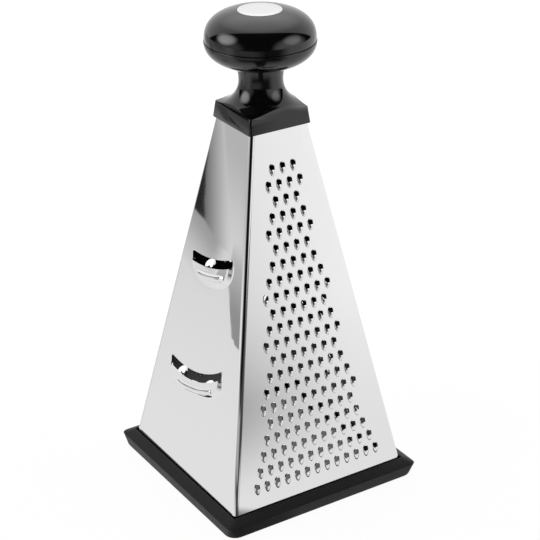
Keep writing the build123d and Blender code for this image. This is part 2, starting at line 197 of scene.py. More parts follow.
def pyramid(name, low_half, high_half, low, high):
    """A four sided block that narrows upwards, with a side towards each axis."""
    bpy.ops.mesh.primitive_cone_add(
        vertices=4,
        radius1=low_half * math.sqrt(2),
        radius2=high_half * math.sqrt(2),
        depth=high - low,
        location=(0, 0, (low + high) / 2),
        rotation=(0, 0, math.pi / 4),
    )
    block = name_new(name)
    settle(block)
    return block


plain_sheet = pyramid("plain_sheet", half_bottom, half_top, body_bottom, body_top)
bpy.ops.object.mode_set(mode="EDIT")
choose("edges", lambda e: abs(e.verts[0].co.z - e.verts[1].co.z) > body_height / 2)
bpy.ops.mesh.bevel(offset=bend_radius, offset_type="OFFSET", segments=bend_steps, profile=0.5)
# What stays is the side that looks to the front and the bend at its right edge
choose(
    "faces",
    lambda f: not (f.normal.y < -0.02 and f.normal.x > -0.02 and abs(f.normal.z) < 0.9),
)
bpy.ops.mesh.delete(type="FACE")
# The left edge is trimmed, so that a fine dark seam shows beside the neighbour's bend
bpy.ops.mesh.select_all(action="SELECT")
bpy.ops.mesh.bisect(
    plane_co=(-half_bottom + bend_radius + seam_gap, 0, body_bottom),
    plane_no=(-1, 0, taper),
    clear_outer=True,
)
bpy.ops.object.mode_set(mode="OBJECT")
apply_modifier(plain_sheet, "SOLIDIFY", thickness=sheet, offset=-1.0, use_even_offset=True)
print("plain sheet:", len(plain_sheet.data.polygons), "faces")

# %% [markdown]
# The lap flange is a strip that lies flat behind the next sheet, and the tab is folded
# in at the top. They only show from below, so they are four cornered planes set in
# place and thickened, and each finished sheet gets its own copy of them.

# %% The lap flange and the folded tab
flange_width, flange_tuck = 4.0 * mm, 1.3 * mm
flange_low, flange_high = body_bottom + 5.0 * mm, body_top - 7.0 * mm
lap = sheet + 0.05 * mm
tab_depth, tab_side = 5.6 * mm, 3.0 * mm


def lay_plane(corners):
    """In edit mode, adds a plane and moves its corners to four places."""
    bpy.ops.mesh.select_all(action="DESELECT")
    bpy.ops.mesh.primitive_plane_add(size=1)
    mesh = bmesh.from_edit_mesh(bpy.context.object.data)
    new = next(f for f in mesh.faces if f.select)
    for point, place in zip(new.verts, corners):
        point.co = Vector(place)
    bmesh.update_edit_mesh(bpy.context.object.data)


def behind_right_wall(along, height):
    """A point just behind the right hand wall, at a distance along it from the corner."""
    half = body_half(height)
    return (half - lap / math.cos(lean), -half + bend_radius + along, height)


start_fresh()
bpy.ops.mesh.primitive_plane_add(size=1)
folds = name_new("folds")
bpy.ops.object.mode_set(mode="EDIT")
bpy.ops.mesh.select_all(action="SELECT")
bpy.ops.mesh.delete(type="VERT")
lay_plane(
    (
        behind_right_wall(-flange_tuck, flange_low),
        behind_right_wall(flange_width, flange_low),
        behind_right_wall(flange_width, flange_high),
        behind_right_wall(-flange_tuck, flange_high),
    )
)
tab_x, tab_y = half_top - tab_side, -half_top + sheet
lay_plane(
    (
        (-tab_x, tab_y, body_top),
        (tab_x, tab_y, body_top),
        (tab_x - tab_depth, tab_y + tab_depth, body_top),
        (-tab_x + tab_depth, tab_y + tab_depth, body_top),
    )
)
bpy.ops.object.mode_set(mode="OBJECT")
apply_modifier(folds, "SOLIDIFY", thickness=sheet, offset=-1.0)
cleaned(folds)
print("folds:", len(folds.data.polygons), "faces")


def turn_to_side(panel, turn):
    """Gives a sheet its folds and turns it to its side of the grater."""
    own_folds = copy_of(folds, "own_folds")
    take(panel)
    own_folds.select_set(True)
    bpy.ops.object.join()
    panel.data.transform(Matrix.Rotation(turn, 4, "Z"))


# %% [markdown]
# ## The shredding teeth
#
# A punch makes each tooth: a round hole with a low rim, and below it an egg shaped nose
# that bulges out of the sheet. A ball is stretched into the nose and its rim. What is
# open, the hole and the hollow behind the nose, is one shape: a disc extruded upwards
# ring by ring, whose rings then move to their places. Each is made once, set out on the
# sheet's lattice, and joined to the sheet or cut from it in one go. Boolean steps are
# slower than drawing each hole, but give clean, closed metal as a press does.

# %% One tooth
rim_rise = 0.3  # the height of the rim, as a share of the nose's
hollow_rings = 5
hollow_swell = 0.8  # below 1, the hollow rises faster at its outline


def tooth_nose(width, rise, tail, hole, steps):
    """What the punch pushes out: a nose with its tail down the slope, and a low rim."""
    bpy.ops.mesh.primitive_uv_sphere_add(
        segments=steps, ring_count=steps // 2, radius=1, rotation=(math.pi / 2, 0, 0)
    )
    nose = name_new("nose")
    settle(nose)

    def shape(co):
        y = co.y * (width / 2 if co.y > 0 else tail)
        fade = min(max((y + hole) / (2 * hole), 0), 1)
        fade = fade * fade * (3 - 2 * fade)
        z = co.z * rise * (1 - fade * (1 - rim_rise))
        # The lower half is pressed flat inside the sheet
        return Vector((co.x * width / 2, y, max(z, -rise * rim_rise / 3)))

    move_points(nose, shape)
    return nose


def tooth_opening(rise, tail, hole, wall, steps):
    """What is open in a tooth: a round hole, and below it the hollow of the nose."""
    bpy.ops.mesh.primitive_circle_add(vertices=steps, radius=1, fill_type="NGON")
    opening = name_new("opening")
    bpy.ops.object.mode_set(mode="EDIT")
    bpy.ops.mesh.select_all(action="SELECT")
    for ring in range(hollow_rings + 1):
        bpy.ops.mesh.extrude_region_move(TRANSFORM_OT_translate={"value": (0, 0, 1)})
    bpy.ops.object.mode_set(mode="OBJECT")

    def shape(co):
        ring = round(co.z)
        # The hollow narrows ring by ring from the egg's outline to the round hole
        part = min(max(ring - 1, 0), hollow_rings - 1) / (hollow_rings - 1)
        longest = tail - wall if co.y < 0 else hole
        out = hole + (1 - part) * (longest - hole)
        if ring == 0:
            height = -2 * sheet
        elif ring == hollow_rings + 1:
            height = 2 * rise
        else:
            height = (rise - wall) * math.sin(part * math.pi / 2) ** hollow_swell
        return Vector((co.x * hole, co.y * out, height))

    move_points(opening, shape)
    bpy.ops.object.mode_set(mode="EDIT")
    bpy.ops.mesh.select_all(action="SELECT")
    bpy.ops.mesh.normals_make_consistent(inside=False)
    bpy.ops.object.mode_set(mode="OBJECT")
    return opening


# %% [markdown]
# The teeth stand in staggered rows that narrow with the sheet. `row_places` gives
# the places of such a field, measured from the middle of the sheet's bottom edge. One
# flat face with many holes in it is hard to split into triangles, so `draw_lines`
# divides the sheet between the rows and beside the middles of the teeth.

# %% The lattice of teeth
field_lean = 0.0058  # how far the field drifts to the left for each length upwards
line_aside = 0.3 * mm


def row_places(pitch, rise, first, counts, aside=0):
    """Places of rows of teeth, from the bottom row up. The field leans a hair left."""
    return [
        ((k - (count - 1) / 2) * pitch - field_lean * row * rise + aside, first + row * rise)
        for row, count in enumerate(counts)
        for k in range(count)
    ]


def spread(tool, places, name):
    """Sets copies of a tool at each place on the front wall and joins them."""
    copies = []
    for x, y in places:
        twin = copy_of(tool, name)
        twin.data.transform(front_wall @ Matrix.Translation((x, y, 0)))
        copies.append(twin)
    start_fresh()
    for twin in copies:
        twin.select_set(True)
    bpy.context.view_layer.objects.active = copies[0]
    bpy.ops.object.join()
    bpy.data.objects.remove(tool)
    return copies[0]


def draw_lines(panel, heights, sides):
    """Draws edges across and up a sheet, so that no face of it holds a whole hole."""
    take(panel)
    bpy.ops.object.mode_set(mode="EDIT")
    lines = [((0, 0, body_bottom + up * math.cos(lean)), (0, 0, 1)) for up in heights]
    for point, normal in lines + [((side, 0, 0), (1, 0, 0)) for side in sides]:
        bpy.ops.mesh.select_all(action="SELECT")
        bpy.ops.mesh.bisect(plane_co=point, plane_no=normal)
    bpy.ops.object.mode_set(mode="OBJECT")


def toothed_sheet(name, places, width, rise, tail, hole, wall, steps, turn):
    """A sheet with its field of teeth, turned to its side of the grater."""
    panel = copy_of(plain_sheet, name)
    rows = sorted({round(up, 7) for side, up in places})
    middles = {round(side + field_lean * (up - rows[0]), 5) for side, up in places}
    draw_lines(
        panel,
        [up + (rows[1] - rows[0] + hole - tail) / 2 for up in rows],
        sorted(middle - line_aside for middle in middles),
    )
    nose = tooth_nose(width, rise, tail, hole, steps)
    opening = tooth_opening(rise, tail, hole, wall, steps)
    carve(panel, spread(nose, places, "noses"), "UNION")
    carve(panel, spread(opening, places, "openings"))
    turn_to_side(panel, turn)
    return finish_piece(panel, [name.replace("_sheet", "_panel")])


# %% [markdown]
# Each toothed side is the plain sheet with its own field of teeth. The rows of the fine
# side are given one by one. The other two fields fill their sheets by a rule. The coarse
# rows start a little higher than in the engineering model and stand a little further
# apart, where they show through the slots.

# %% The fine, medium and coarse sides
field_top_margin = 22 * mm


def filled_field(pitch, rise, first, side_margin, aside=0):
    """Places of a field whose rows, odd and even in turn, are as wide as fits."""
    counts, up = [], first
    while up <= body_height / math.cos(lean) - field_top_margin:
        half = body_half(body_bottom + up * math.cos(lean)) - side_margin
        fitting = int(2 * half / pitch) + 1
        counts.append(fitting - (fitting + len(counts)) % 2)
        up += rise
    return row_places(pitch, rise, first, counts, aside)


fine_counts = (13, 12, 11, 10, 9, 10, 9, 8, 7, 8, 7, 6, 7, 6, 5, 4, 5, 4, 3, 4, 3)
fine_sheet = toothed_sheet(
    "fine_sheet",
    row_places(6.05 * mm, 7.96 * mm, 18.1 * mm, fine_counts),
    width=3.4 * mm, rise=1.25 * mm, tail=4.7 * mm, hole=1.33 * mm, wall=0.35 * mm,
    steps=16, turn=0,
)
medium_sheet = toothed_sheet(
    "medium_sheet",
    filled_field(10 * mm, 13 * mm, 18 * mm, side_margin=12.4 * mm),
    width=4.9 * mm, rise=1.8 * mm, tail=6.6 * mm, hole=2.0 * mm, wall=0.4 * mm,
    steps=20, turn=math.pi / 2,
)
coarse_sheet = toothed_sheet(
    "coarse_sheet",
    filled_field(12 * mm, 16.7 * mm, 21.3 * mm, side_margin=15 * mm, aside=1.0 * mm),
    width=7.2 * mm, rise=2.4 * mm, tail=9.0 * mm, hole=3.2 * mm, wall=0.4 * mm,
    steps=24, turn=math.pi,
)

# %% [markdown]
# ## The slicing side
#
# Two long slots smile across this sheet. Below each, the metal is pressed up into a
# lip that carries the cutting edge, with sloping skirts at its sides and a narrow bead
# that stiffens it. A flat ellipse is raised in steps by Inset, which draws a soft skirt
# round it, and a large cylinder then cuts it off along the arc of the cutting edge.

# %% One slicing lip
blade_rise, blade_skirt = 2.0 * mm, 3.3 * mm
lip_steps = 6


def raised_lip(half_width, depth, middle, fullness, inset):
    """A soft edged plateau below a slot. An inset makes the hollow that lies under it."""
    bpy.ops.mesh.primitive_circle_add(vertices=96, radius=1, fill_type="NGON")
    lip = name_new("lip")
    half, low = half_width - inset, depth - middle - inset

    def shape(co):
        x, y = (math.copysign(abs(v) ** (2 / fullness), v) for v in co.xy)
        return Vector((x * half, y * low - middle, 0))

    move_points(lip, shape)
    bpy.ops.object.mode_set(mode="EDIT")
    bpy.ops.mesh.select_all(action="SELECT")
    bpy.ops.mesh.extrude_region_move(TRANSFORM_OT_translate={"value": (0, 0, sheet / 2)})
    for step in range(lip_steps):
        before, after = step / lip_steps, (step + 1) / lip_steps
        climb = (math.cos(math.pi * before) - math.cos(math.pi * after)) / 2
        bpy.ops.mesh.inset(thickness=blade_skirt / lip_steps, depth=blade_rise * climb)
    choose("edges", lambda e: e.is_boundary)
    bpy.ops.mesh.edge_face_add()
    bpy.ops.object.mode_set(mode="OBJECT")
    lip.data.transform(Matrix.Translation((0, 0, -sheet / 2)))
    return cleaned(lip)


# %% [markdown]
# Two tools shape the opening. A large cylinder trims the lip along the arc of its
# cutting edge, and a curved strip with rounded corners cuts away the slot above it.

# %% The tools for the slot
slot_round = 0.42  # the round of a corner, as a share of the slot's height


def trim_above(piece, radius, drop):
    """Cuts a piece off along an arc that dips below the slot's top edge by a drop."""
    bpy.ops.mesh.primitive_cylinder_add(
        vertices=360, radius=radius, depth=40 * mm, location=(0, radius - drop, 0)
    )
    edge = name_new("edge")
    settle(edge)
    carve(piece, edge)


def slot_tool(length, radius, height):
    """What is cut away above the edge: a strip between two equal arcs, with round ends."""
    bpy.ops.mesh.primitive_grid_add(x_subdivisions=32, y_subdivisions=1, size=1)
    slot = name_new("slot")

    def shape(co):
        x = co.x * length
        y = radius - math.sqrt(radius**2 - x**2) - (height if co.y < 0 else 0)
        return Vector((x, y, -2 * sheet))

    move_points(slot, shape)
    bpy.ops.object.mode_set(mode="EDIT")
    choose("verts", lambda v: len(v.link_edges) == 2)
    bpy.ops.mesh.bevel(
        offset=slot_round * height, offset_type="OFFSET", affect="VERTICES", segments=5
    )
    bpy.ops.mesh.select_all(action="SELECT")
    bpy.ops.mesh.extrude_region_move(TRANSFORM_OT_translate={"value": (0, 0, 6 * mm)})
    choose("edges", lambda e: e.is_boundary)
    bpy.ops.mesh.edge_face_add()
    bpy.ops.object.mode_set(mode="OBJECT")
    return cleaned(slot)


# %% [markdown]
# The bead is a round bar that is spun round the centre of the edge's arc and sunk
# halfway into the lip. Its ends are flattened, so that they run out softly.

# %% The stiffening bead
bead_drop, bead_width, bead_rise = 4.6 * mm, 3.6 * mm, 1.2 * mm
bead_flattening = 0.97  # at 1 the ends would have no height left


def stiffening_bead(length, reach, centre):
    """A round bar along the lip, spun round the centre of the edge's arc."""
    turn = length / reach
    bpy.ops.mesh.primitive_circle_add(
        vertices=16, radius=1, fill_type="NGON", rotation=(0, math.pi / 2, 0)
    )
    bead = name_new("bead")
    settle(bead)
    move_points(
        bead, lambda co: Vector((0, co.y * bead_width / 2 - reach + centre, co.z * bead_rise))
    )
    bpy.ops.object.mode_set(mode="EDIT")
    bpy.ops.mesh.select_all(action="SELECT")
    bpy.ops.transform.rotate(
        value=-turn / 2, orient_axis="Z", center_override=(0, centre, 0)
    )
    bpy.ops.mesh.spin(
        steps=16, angle=turn, center=(0, centre, 0), axis=(0, 0, 1), use_auto_merge=False
    )
    bpy.ops.object.mode_set(mode="OBJECT")

    def end_softly(co):
        """Lets both ends of the bar run out into the lip."""
        around = math.atan2(co.x, centre - co.y)
        full = math.sqrt(1 - bead_flattening * min(1, abs(2 * around / turn)) ** 5)
        across = math.hypot(co.x, centre - co.y) - reach
        out = reach + across * (0.5 + 0.5 * full)
        return Vector((out * math.sin(around), centre - out * math.cos(around), co.z * full))

    move_points(bead, end_softly)
    return cleaned(bead)


# %% [markdown]
# The tools of a blade are made flat, then set on the wall with a tilt and used in turn:
# the lip is joined on, the hollow behind it is cut out, and the slot is cut through.

# %% The slicing sheet
slicing_sheet = copy_of(plain_sheet, "slicing_sheet")
lip_margin, edge_drop = 0.8 * mm, 0.05 * mm
blade_tilt = math.radians(13)
blades = (
    # side, height, slot length, slot height, radius, lip half, depth, middle, fullness, bead
    (-0.3, 125.2, 37.8, 4.3, 80.0, 19.8, 14.8, 0.3, 2.4, 25.5),
    (-0.84, 62.9, 49.2, 4.3, 62.0, 25.5, 12.2, -1.2, 3.0, 34.5),
)
for side, height, *sizes, fullness, bead_length in blades:
    length, slot_height, radius, half, depth, middle = (size * mm for size in sizes)
    place = (
        front_wall
        @ Matrix.Translation((side * mm, height * mm, 0))
        @ Matrix.Rotation(blade_tilt, 4, "Z")
    )
    lip = raised_lip(half, depth, middle, fullness, 0)
    bead = stiffening_bead(bead_length * mm, radius + bead_drop, radius - slot_height)
    bead.data.transform(Matrix.Translation((0, 0, blade_rise)))
    carve(lip, bead, "UNION")
    trim_above(lip, radius, edge_drop)
    hollow = raised_lip(half, depth, middle, fullness, lip_margin)
    hollow.data.transform(Matrix.Translation((0, 0, -sheet)))
    trim_above(hollow, radius, slot_height / 2)
    slot = slot_tool(length, radius, slot_height)
    for tool, how in ((lip, "UNION"), (hollow, "DIFFERENCE"), (slot, "DIFFERENCE")):
        tool.data.transform(place)
        carve(slicing_sheet, tool, how)
turn_to_side(slicing_sheet, -math.pi / 2)
finish_piece(slicing_sheet, ["slicing_panel"])
bpy.data.objects.remove(plain_sheet)
bpy.data.objects.remove(folds)

# %% [markdown]
# ## The collar
#
# The black collar is a square cap whose faces run up into a round neck. On the real
# part a mould cuts one shape with the other, and so does this: a four sided block is
# trimmed by a turned shape, and a small bevel rounds the edges where they meet.

# %% Turned shapes
turned_segments = 128


def turned(name, profile):
    """Turns a profile of (radius, height) points round the middle axis, ends closed."""
    radius, height = profile[0]
    bpy.ops.mesh.primitive_circle_add(
        vertices=turned_segments, radius=radius, fill_type="NGON", location=(0, 0, height)
    )
    piece = name_new(name)
    settle(piece)
    bpy.ops.object.mode_set(mode="EDIT")
    bpy.ops.mesh.select_all(action="SELECT")
    for (r0, z0), (r1, z1) in zip(profile, profile[1:]):
        bpy.ops.mesh.extrude_region_move(TRANSFORM_OT_translate={"value": (0, 0, z1 - z0)})
        bpy.ops.transform.resize(value=(r1 / r0, r1 / r0, 1), center_override=(0, 0, z1))
    choose("edges", lambda e: e.is_boundary)
    bpy.ops.mesh.edge_face_add()
    bpy.ops.object.mode_set(mode="OBJECT")
    return cleaned(piece)


def arc(centre, radius, start, end, steps):
    """Points of an arc in (radius, height), between two angles in degrees."""
    turns = [math.radians(start + (end - start) * k / steps) for k in range(steps + 1)]
    return [
        (centre[0] + radius * math.cos(turn), centre[1] + radius * math.sin(turn))
        for turn in turns
    ]


def in_metres(points):
    """A profile drawn in millimetres, in metres."""
    return [(r * mm, z * mm) for r, z in points]


# %% [markdown]
# The block of the cap narrows upwards, and its upright edges are bevelled before the
# turned neck trims it. A pocket of the steel's own shape, a hair wider, is cut out from
# below. The sizes of turned pieces are kept in millimetres until they are used.

# %% The collar
cap_bottom, collar_top, neck_waist = 194.45, 222.35, 215.25
cap_half, cap_taper, cap_bend = 17.63, 0.121, 1.3
waist_radius, flare_radius, throat_radius = 10.95, 12.7, 20.0
pocket_gap, pocket_drop = 0.1 * mm, 0.01 * mm
neck_collar = pyramid(
    "neck_collar",
    cap_half * mm, (cap_half - cap_taper * (collar_top - cap_bottom)) * mm,
    cap_bottom * mm, collar_top * mm,
)
bpy.ops.object.mode_set(mode="EDIT")
choose("edges", lambda e: abs(e.verts[0].co.z - e.verts[1].co.z) > 20 * mm)
bpy.ops.mesh.bevel(offset=cap_bend * mm, offset_type="OFFSET", segments=5, profile=0.5)
bpy.ops.object.mode_set(mode="OBJECT")
neck_profile = (
    [(30.0, cap_bottom - 1.0), (30.0, neck_waist - flare_radius)]
    + arc((waist_radius + flare_radius, neck_waist), flare_radius, 270, 180, 24)
    + arc((waist_radius + throat_radius, neck_waist), throat_radius, 180, 159.3, 8)[1:]
    + [(12.4, collar_top + 1.0)]
)
carve(neck_collar, turned("trimmer", in_metres(neck_profile)), "INTERSECT")
cleaned(neck_collar)
apply_modifier(
    neck_collar, "BEVEL", width=0.35 * mm, segments=2, limit_method="ANGLE",
    angle_limit=math.radians(28), use_clamp_overlap=True,
)
pocket = pyramid(
    "pocket",
    body_half(cap_bottom * mm) + pocket_gap, half_top + pocket_gap,
    cap_bottom * mm, body_top,
)
pocket.data.transform(Matrix.Translation((0, 0, -pocket_drop)))
carve(neck_collar, pocket)
finish_piece(neck_collar, ["collar"], 30)

# %% [markdown]
# ## The knob
#
# The flattened ball of the handle is two moulded shells that meet at its widest line,
# with a satin metal disc let flush into its top. Each is turned from a profile: the
# curves are pulled out of four points each, as a moulding drawing would give them, and
# a small step at the meeting edges draws the fine line of the joint.

# %% The knob's shells
def pulled_curve(points, steps):
    """A cubic curve from four points, in (radius, height)."""
    curve = []
    for k in range(steps + 1):
        t = k / steps
        shares = ((1 - t) ** 3, 3 * t * (1 - t) ** 2, 3 * t * t * (1 - t), t**3)
        curve.append(tuple(sum(s * p[a] for s, p in zip(shares, points)) for a in (0, 1)))
    return curve


knob_bottom, knob_joint, knob_crown = 222.4, 235.0, 250.0
knob_radius, seat_radius = 27.4, 11.0
belly = pulled_curve(
    ((12.25, knob_bottom), (14.8, 222.97), (knob_radius, 225.8), (knob_radius, 234.7)), 26
)
belly_edge = [(27.36, 234.86), (27.2, knob_joint - 0.05), (26.9, knob_joint - 0.03)]
lower_shell = turned("lower_shell", in_metres(belly + belly_edge))
finish_piece(lower_shell, ["knob_base"], 50)

crown_edge = [(27.1, 235.05), (27.3, 235.15)]
crown = pulled_curve(
    ((27.1, 235.1), (27.3, 238.8), (knob_radius, 247.6), (seat_radius, knob_crown)), 30
)
seat = [(10.97, 249.9), (10.95, 248.8)]
upper_shell = turned("upper_shell", in_metres(crown_edge + crown + seat))
finish_piece(upper_shell, ["knob_top"], 50)

disc_profile = [(10.88, 248.82), (10.88, 249.84), (10.8, 249.95), (10.6, knob_crown)]
metal_disc = turned("metal_disc", in_metres(disc_profile + [(6.0, knob_crown)]))
finish_piece(metal_disc, ["knob_disc"])

# %% [markdown]
# ## The base ring
#
# The soft ring leans outwards from its foot to its rim, then slopes up to a thin crest
# at the groove that the steel stands in. A square with rounded corners is extruded
# upwards once for each corner of the ring's cross section, and every level is then
# moved to the width and height of its corner. The last level meets the first again.

# %% The base ring
def on_wall(height, gap):
    """Half the width of the steel at a height, with a gap."""
    return body_half(height * mm) / mm + gap


ring_section = (
    # half width, corner radius, height
    (55.7, 5.4, 0.0),
    (56.35, 5.9, 0.25),
    (56.62, 6.0, 0.8),
    (57.4, 3.3, 6.1),
    (57.47, 3.25, 6.4),
    (57.2, 3.2, 6.65),
    (52.75, 2.6, 9.0),
    (52.5, 2.5, 9.1),
    (on_wall(9.1, 0.62), 0.3, 9.1),
    (on_wall(8.9, 0.5), 0.3, 8.95),
    (on_wall(3.0, 0.5), 0.3, 3.0),
    (on_wall(3.0, -0.77), 2.0, 3.0),
    (on_wall(6.4, -0.78), 2.0, 6.4),
    (on_wall(6.6, -1.0), 2.0, 6.6),
    (47.3, 2.2, 6.6),
    (47.0, 2.3, 6.3),
    (47.0, 2.3, 0.3),
    (47.3, 2.3, 0.0),
)
start_fresh()
bpy.ops.mesh.primitive_plane_add(size=2)
soft_ring = name_new("soft_ring")
bpy.ops.object.mode_set(mode="EDIT")
bpy.ops.mesh.select_all(action="SELECT")
bpy.ops.mesh.bevel(offset=0.5, offset_type="OFFSET", affect="VERTICES", segments=6)
bpy.ops.mesh.select_all(action="SELECT")
bpy.ops.mesh.delete(type="ONLY_FACE")
bpy.ops.mesh.select_all(action="SELECT")
for level in ring_section:
    bpy.ops.mesh.extrude_region_move(TRANSFORM_OT_translate={"value": (0, 0, 1)})
bpy.ops.object.mode_set(mode="OBJECT")


def ring_point(co):
    """Where a point of the unit square's stack lies on the ring."""
    half, corner, height = ring_section[round(co.z) % len(ring_section)]
    return Vector(
        [math.copysign(half - corner + corner * (2 * abs(v) - 1), v) * mm for v in co.xy]
        + [height * mm]
    )


move_points(soft_ring, ring_point)
cleaned(soft_ring)
finish_piece(soft_ring, ["base_ring"], 30)

# %% [markdown]
# ## Finishes
#
# Each finish is built of shader nodes that read the object's own coordinates. A fine
# noise lets the roughness wander a little, as it does on every worked surface.

# %% Material helpers
def new_material(name):
    """A material with one plain shader, with its node tree and that shader."""
    material = bpy.data.materials.new(name)
    material.use_nodes = True
    tree = material.node_tree
    tree.nodes.clear()
    output = tree.nodes.new("ShaderNodeOutputMaterial")
    shader = tree.nodes.new("ShaderNodeBsdfPrincipled")
    tree.links.new(shader.outputs[0], output.inputs[0])
    return material, tree, shader


def wear(piece, material):
    """Gives a piece one material."""
    piece.data.materials.clear()
    piece.data.materials.append(material)


def add_bump(tree, shader, height, strength, distance):
    """Lets a height pattern dent the surface."""
    bump = tree.nodes.new("ShaderNodeBump")
    bump.inputs["Strength"].default_value = strength
    bump.inputs["Distance"].default_value = distance
    tree.links.new(height, bump.inputs["Height"])
    tree.links.new(bump.outputs[0], shader.inputs["Normal"])


def noise(tree, scale, stretch=(1, 1, 1)):
    """A noise pattern on the object's own coordinates, stretched along some axes."""
    place = tree.nodes.new("ShaderNodeTexCoord")
    mapping = tree.nodes.new("ShaderNodeMapping")
    mapping.inputs["Scale"].default_value = stretch
    pattern = tree.nodes.new("ShaderNodeTexNoise")
    pattern.inputs["Scale"].default_value = scale
    pattern.inputs["Detail"].default_value = 2.0
    tree.links.new(place.outputs["Object"], mapping.inputs["Vector"])
    tree.links.new(mapping.outputs[0], pattern.inputs["Vector"])
    return pattern.outputs["Fac"]


def ranged(tree, value, low, high):
    """A pattern brought into a range."""
    reach = tree.nodes.new("ShaderNodeMapRange")
    reach.inputs["To Min"].default_value = low
    reach.inputs["To Max"].default_value = high
    tree.links.new(value, reach.inputs["Value"])
    return reach.outputs[0]


def new_finish(name, colour, metallic, grain, roughness, stretch=(1, 1, 1)):
    """A material whose roughness wanders between two values, with a fine grain."""
    material, tree, shader = new_material(name)
    shader.inputs["Metallic"].default_value = metallic
    shader.inputs["Base Color"].default_value = (*colour, 1)
    wander = ranged(tree, noise(tree, grain, stretch), *roughness)
    tree.links.new(wander, shader.inputs["Roughness"])
    return material, tree, shader


# %% [markdown]
# The steel is brushed upwards, so its grain is stretched that way. Inside it is left
# dull, and its grey colour is painted darker towards the top as painted shade, where
# no light gets in.

# %% The steel, the plastics and the fixings
brushed = (1, 1, 0.2)
polished_steel, *_ = new_finish(
    "polished_steel", (0.74, 0.74, 0.745), 1, 60, (0.025, 0.045), brushed
)
dull_steel_with_painted_shade, tree, shader = new_finish(
    "dull_steel_with_painted_shade", (0.5, 0.5, 0.5), 1, 150, (0.5, 0.6), brushed
)
place = tree.nodes.new("ShaderNodeTexCoord").outputs["Object"]
painted_shade = tree.nodes.new("ShaderNodeMapRange")
painted_shade.interpolation_type = "SMOOTHSTEP"
# From the lower height to the upper one, the painted shade takes the grey colour to nearly
# black
for socket, value in zip(painted_shade.inputs[1:5], (15 * mm, 75 * mm, 0.55, 0.02)):
    socket.default_value = value
height = tree.nodes.new("ShaderNodeSeparateXYZ")
tree.links.new(place, height.inputs[0])
tree.links.new(height.outputs["Z"], painted_shade.inputs["Value"])
tree.links.new(painted_shade.outputs[0], shader.inputs["Base Color"])

black_gloss, *_ = new_finish("black_gloss", (0.003, 0.003, 0.0032), 0, 90, (0.06, 0.1))
satin_disc, *_ = new_finish("satin_disc", (0.66, 0.66, 0.665), 1, 300, (0.28, 0.36))
zinc, *_ = new_finish("zinc", (0.6, 0.61, 0.63), 1, 500, (0.25, 0.45))
brass, *_ = new_finish("brass", (0.72, 0.52, 0.22), 1, 500, (0.2, 0.35))
ring_rubber, tree, shader = new_finish(
    "ring_rubber", (0.006, 0.006, 0.0065), 0, 200, (0.45, 0.55)
)
shader.inputs["Specular IOR Level"].default_value = 0.17
add_bump(tree, shader, noise(tree, 3000), strength=0.1, distance=0.05 * mm)
finishes = (polished_steel, dull_steel_with_painted_shade, black_gloss, satin_disc, zinc, brass, ring_rubber)
print("finishes:", [finish.name for finish in finishes])

# %% [markdown]
# Only the outside of the sheets is polished, so faces that look inwards get the dull
# steel with its painted shade. The hidden fixings are the engineering solids themselves, with
# a finish.

# %% What each piece wears
for piece in (slicing_sheet, fine_sheet, medium_sheet, coarse_sheet):
    wear(piece, polished_steel)
    piece.data.materials.append(dull_steel_with_painted_shade)
    for face in piece.data.polygons:
        outwards = Vector((face.center.x, face.center.y, 0)).normalized()
        face.material_index = int(face.normal.dot(outwards) < -0.3)
for piece in (neck_collar, lower_shell, upper_shell):
    wear(piece, black_gloss)
wear(soft_ring, ring_rubber)
wear(metal_disc, satin_disc)
for node in ("clamp_plate", "washer", "tie_bolt"):
    wear(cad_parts[node], zinc)
wear(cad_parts["knob_insert"], brass)
print("dull faces inside:", sum(f.material_index for f in slicing_sheet.data.polygons))

# %% [markdown]
# ## The studio
#
# Polished metal and black gloss show their surroundings more than themselves, so the
# studio matters as much as the finishes. It is the usual one for kitchen tools: a white
# backdrop that rises behind the grater and hangs over it, a dark room behind the
# camera, a soft box at each side, and a white table. The surroundings are drawn in the
# world by direction, since nothing there comes near the object.

# %% Node helpers for the studio
def measure_along(tree, place, direction):
    """How far a place or direction reaches along another direction."""
    product = tree.nodes.new("ShaderNodeVectorMath")
    product.operation = "DOT_PRODUCT"
    product.inputs[1].default_value = direction
    tree.links.new(place, product.inputs[0])
    return product.outputs["Value"]


def eased(tree, value, start, end, low, high):
    """Goes softly from a low to a high number while a value goes from start to end."""
    ease = tree.nodes.new("ShaderNodeMapRange")
    ease.interpolation_type = "SMOOTHSTEP"
    names = ("From Min", "From Max", "To Min", "To Max")
    for name, number in zip(names, (start, end, low, high)):
        ease.inputs[name].default_value = number
    tree.links.new(value, ease.inputs["Value"])
    return ease.outputs[0]


def feed(tree, value, socket):
    """Sets a socket to a number, or links a pattern to it."""
    if isinstance(value, (int, float)):
        socket.default_value = value
    else:
        tree.links.new(value, socket)


def joined(tree, how, first, second):
    """Adds, multiplies or compares two numbers, either of which may be a pattern."""
    sum_up = tree.nodes.new("ShaderNodeMath")
    sum_up.operation = how
    for socket, value in zip(sum_up.inputs, (first, second)):
        feed(tree, value, socket)
    return sum_up.outputs[0]


def mixed(tree, share, first, second):
    """Sends a mix of two shaders to the output, the second one by a share."""
    mix = tree.nodes.new("ShaderNodeMixShader")
    feed(tree, share, mix.inputs[0])
    tree.links.new(first.outputs[0], mix.inputs[1])
    tree.links.new(second.outputs[0], mix.inputs[2])
    output = next(node for node in tree.nodes if node.type.startswith("OUTPUT"))
    tree.links.new(mix.outputs[0], output.inputs[0])


# %% [markdown]
# Directions are easiest to think of from the camera: away from it, to its right, and up.
# `from_camera` turns such a direction into the scene's own.

# %% Directions seen from the camera
yaw, pitch, roll = math.radians(-32.076), math.radians(26.099), math.radians(-0.764)
away = Vector((-math.sin(yaw), math.cos(yaw), 0))
level = Vector((math.cos(yaw), math.sin(yaw), 0))


def from_camera(turn, climb):
    """A direction: degrees to the right of straight away, and degrees up."""
    turn, climb = math.radians(turn), math.radians(climb)
    flat = away * math.cos(turn) + level * math.sin(turn)
    return flat * math.cos(climb) + Vector((0, 0, math.sin(climb)))


